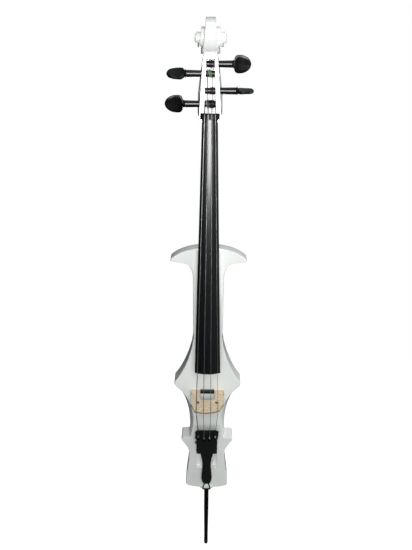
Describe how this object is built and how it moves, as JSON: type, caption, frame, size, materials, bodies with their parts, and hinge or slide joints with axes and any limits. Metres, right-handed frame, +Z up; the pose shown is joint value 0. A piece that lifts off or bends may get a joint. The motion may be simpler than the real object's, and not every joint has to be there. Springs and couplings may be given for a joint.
{
  "type": "electric cello",
  "caption": "Solid body electric cello with knee tabs, chest rest, scroll and pegs, arched bridge, fine tuner tailpiece, pocketed preamp and sliding endpin.",
  "frame": {"origin": "middle of the body's lower end, on the endpin's axis", "axes": "+Z up along the instrument towards the scroll, -Y out of the front face where the strings are, +X towards the treble side on the right in the picture"},
  "size_m": [0.1826, 0.1721, 1.4136],
  "materials": {
    "white_lacquer": "high gloss white polyester lacquer over wood",
    "ebony": "polished ebony",
    "maple": "bare flamed maple, lightly polished",
    "bone": "polished white bone",
    "string_steel": "flat-wound steel",
    "silk_c": "silk wrapped string end",
    "silk_g": "silk wrapped string end",
    "silk_d": "silk wrapped string end",
    "silk_a": "silk wrapped string end",
    "steel": "ground steel",
    "black_steel": "black plated steel",
    "black_plastic": "fine-grained black plastic",
    "gut_plastic": "smooth black synthetic cord",
    "lead_sheath": "soft black sheath",
    "rubber": "matt black rubber",
    "laminate": "green circuit laminate"
  },
  "bodies": {
    "instrument": {"body": "white_lacquer", "neck": "white_lacquer", "fingerboard": "ebony", "nut": "ebony", "tailpiece": "ebony", "endpin_plug": "ebony", "bridge": "maple", "saddle": "bone", "string_c": "string_steel", "string_g": "string_steel", "string_d": "string_steel", "string_a": "string_steel", "tuner_pin": "steel", "volume_pot": "steel", "tone_pot": "steel", "output_jack": "black_steel", "headphone_jack": "black_steel", "battery": "black_steel", "cover_screw_1": "black_steel", "cover_screw_2": "black_steel", "cover_screw_3": "black_steel", "cover_screw_4": "black_steel", "preamp_case": "black_plastic", "pickup": "black_plastic", "battery_clip": "black_plastic", "battery_cover": "black_plastic", "tail_gut": "gut_plastic", "pickup_lead": "lead_sheath", "battery_lead": "lead_sheath", "preamp_board": "laminate"},
    "peg_c": {"peg_c": "ebony", "winding_c": "silk_c"},
    "peg_g": {"peg_g": "ebony", "winding_g": "silk_g"},
    "peg_d": {"peg_d": "ebony", "winding_d": "silk_d"},
    "peg_a": {"peg_a": "ebony", "winding_a": "silk_a"},
    "endpin": {"endpin_rod": "steel", "endpin_tip": "rubber"},
    "clamp_screw": {"clamp_screw": "black_steel"},
    "volume_knob": {"volume_knob": "black_plastic"},
    "tone_knob": {"tone_knob": "black_plastic"},
    "tuner_screw_c": {"tuner_screw_c": "black_steel"},
    "tuner_lever_c": {"tuner_lever_c": "black_steel", "string_ball_c": "steel"},
    "tuner_screw_g": {"tuner_screw_g": "black_steel"},
    "tuner_lever_g": {"tuner_lever_g": "black_steel", "string_ball_g": "steel"},
    "tuner_screw_d": {"tuner_screw_d": "black_steel"},
    "tuner_lever_d": {"tuner_lever_d": "black_steel", "string_ball_d": "steel"},
    "tuner_screw_a": {"tuner_screw_a": "black_steel"},
    "tuner_lever_a": {"tuner_lever_a": "black_steel", "string_ball_a": "steel"}
  },
  "joints": [
    {"name": "peg_c_turn", "type": "hinge", "parent": "instrument", "child": "peg_c", "pos_m": [0, -0.00606, 1.0145], "axis": [-1, 0, 0], "continuous": true},
    {"name": "peg_g_turn", "type": "hinge", "parent": "instrument", "child": "peg_g", "pos_m": [0, -0.0003, 1.07311], "axis": [-1, 0, 0], "continuous": true},
    {"name": "peg_d_turn", "type": "hinge", "parent": "instrument", "child": "peg_d", "pos_m": [0, 0.00151, 1.09152], "axis": [1, 0, 0], "continuous": true},
    {"name": "peg_a_turn", "type": "hinge", "parent": "instrument", "child": "peg_a", "pos_m": [0, -0.00353, 1.04027], "axis": [1, 0, 0], "continuous": true},
    {"name": "endpin_slide", "type": "slide", "parent": "instrument", "child": "endpin", "axis": [0, 0, -1], "range_m": [-0.19, 0.15]},
    {"name": "clamp_screw_turn", "type": "hinge", "parent": "instrument", "child": "clamp_screw", "pos_m": [0, 0, -0.0135], "axis": [0, 1, 0], "range_deg": [-1080, 0]},
    {"name": "volume_turn", "type": "hinge", "parent": "instrument", "child": "volume_knob", "pos_m": [-0.0271, -0.0295, 0.16], "axis": [-1, 0, 0], "range_deg": [-140, 140]},
    {"name": "tone_turn", "type": "hinge", "parent": "instrument", "child": "tone_knob", "pos_m": [-0.0271, -0.0295, 0.177], "axis": [-1, 0, 0], "range_deg": [-140, 140]},
    {"name": "tuner_screw_c_turn", "type": "hinge", "parent": "instrument", "child": "tuner_screw_c", "pos_m": [-0.0207, -0.08572, 0.21279], "axis": [0, -0.9691, -0.2468], "range_deg": [0, 1800]},
    {"name": "tuner_lever_c_tilt", "type": "hinge", "parent": "instrument", "child": "tuner_lever_c", "pos_m": [-0.0207, -0.07815, 0.22968], "axis": [1, 0, 0], "range_deg": [0, 5]},
    {"name": "tuner_screw_g_turn", "type": "hinge", "parent": "instrument", "child": "tuner_screw_g", "pos_m": [-0.0069, -0.08572, 0.21279], "axis": [0, -0.9691, -0.2468], "range_deg": [0, 1800]},
    {"name": "tuner_lever_g_tilt", "type": "hinge", "parent": "instrument", "child": "tuner_lever_g", "pos_m": [-0.0069, -0.07815, 0.22968], "axis": [1, 0, 0], "range_deg": [0, 5]},
    {"name": "tuner_screw_d_turn", "type": "hinge", "parent": "instrument", "child": "tuner_screw_d", "pos_m": [0.0069, -0.08572, 0.21279], "axis": [0, -0.9691, -0.2468], "range_deg": [0, 1800]},
    {"name": "tuner_lever_d_tilt", "type": "hinge", "parent": "instrument", "child": "tuner_lever_d", "pos_m": [0.0069, -0.07815, 0.22968], "axis": [1, 0, 0], "range_deg": [0, 5]},
    {"name": "tuner_screw_a_turn", "type": "hinge", "parent": "instrument", "child": "tuner_screw_a", "pos_m": [0.0207, -0.08572, 0.21279], "axis": [0, -0.9691, -0.2468], "range_deg": [0, 1800]},
    {"name": "tuner_lever_a_tilt", "type": "hinge", "parent": "instrument", "child": "tuner_lever_a", "pos_m": [0.0207, -0.07815, 0.22968], "axis": [1, 0, 0], "range_deg": [0, 5]}
  ],
  "couplings": [
    {"joint": "tuner_lever_c_tilt", "follows": "tuner_screw_c_turn", "ratio": 0.0027778},
    {"joint": "tuner_lever_g_tilt", "follows": "tuner_screw_g_turn", "ratio": 0.0027778},
    {"joint": "tuner_lever_d_tilt", "follows": "tuner_screw_d_turn", "ratio": 0.0027778},
    {"joint": "tuner_lever_a_tilt", "follows": "tuner_screw_a_turn", "ratio": 0.0027778}
  ]
}
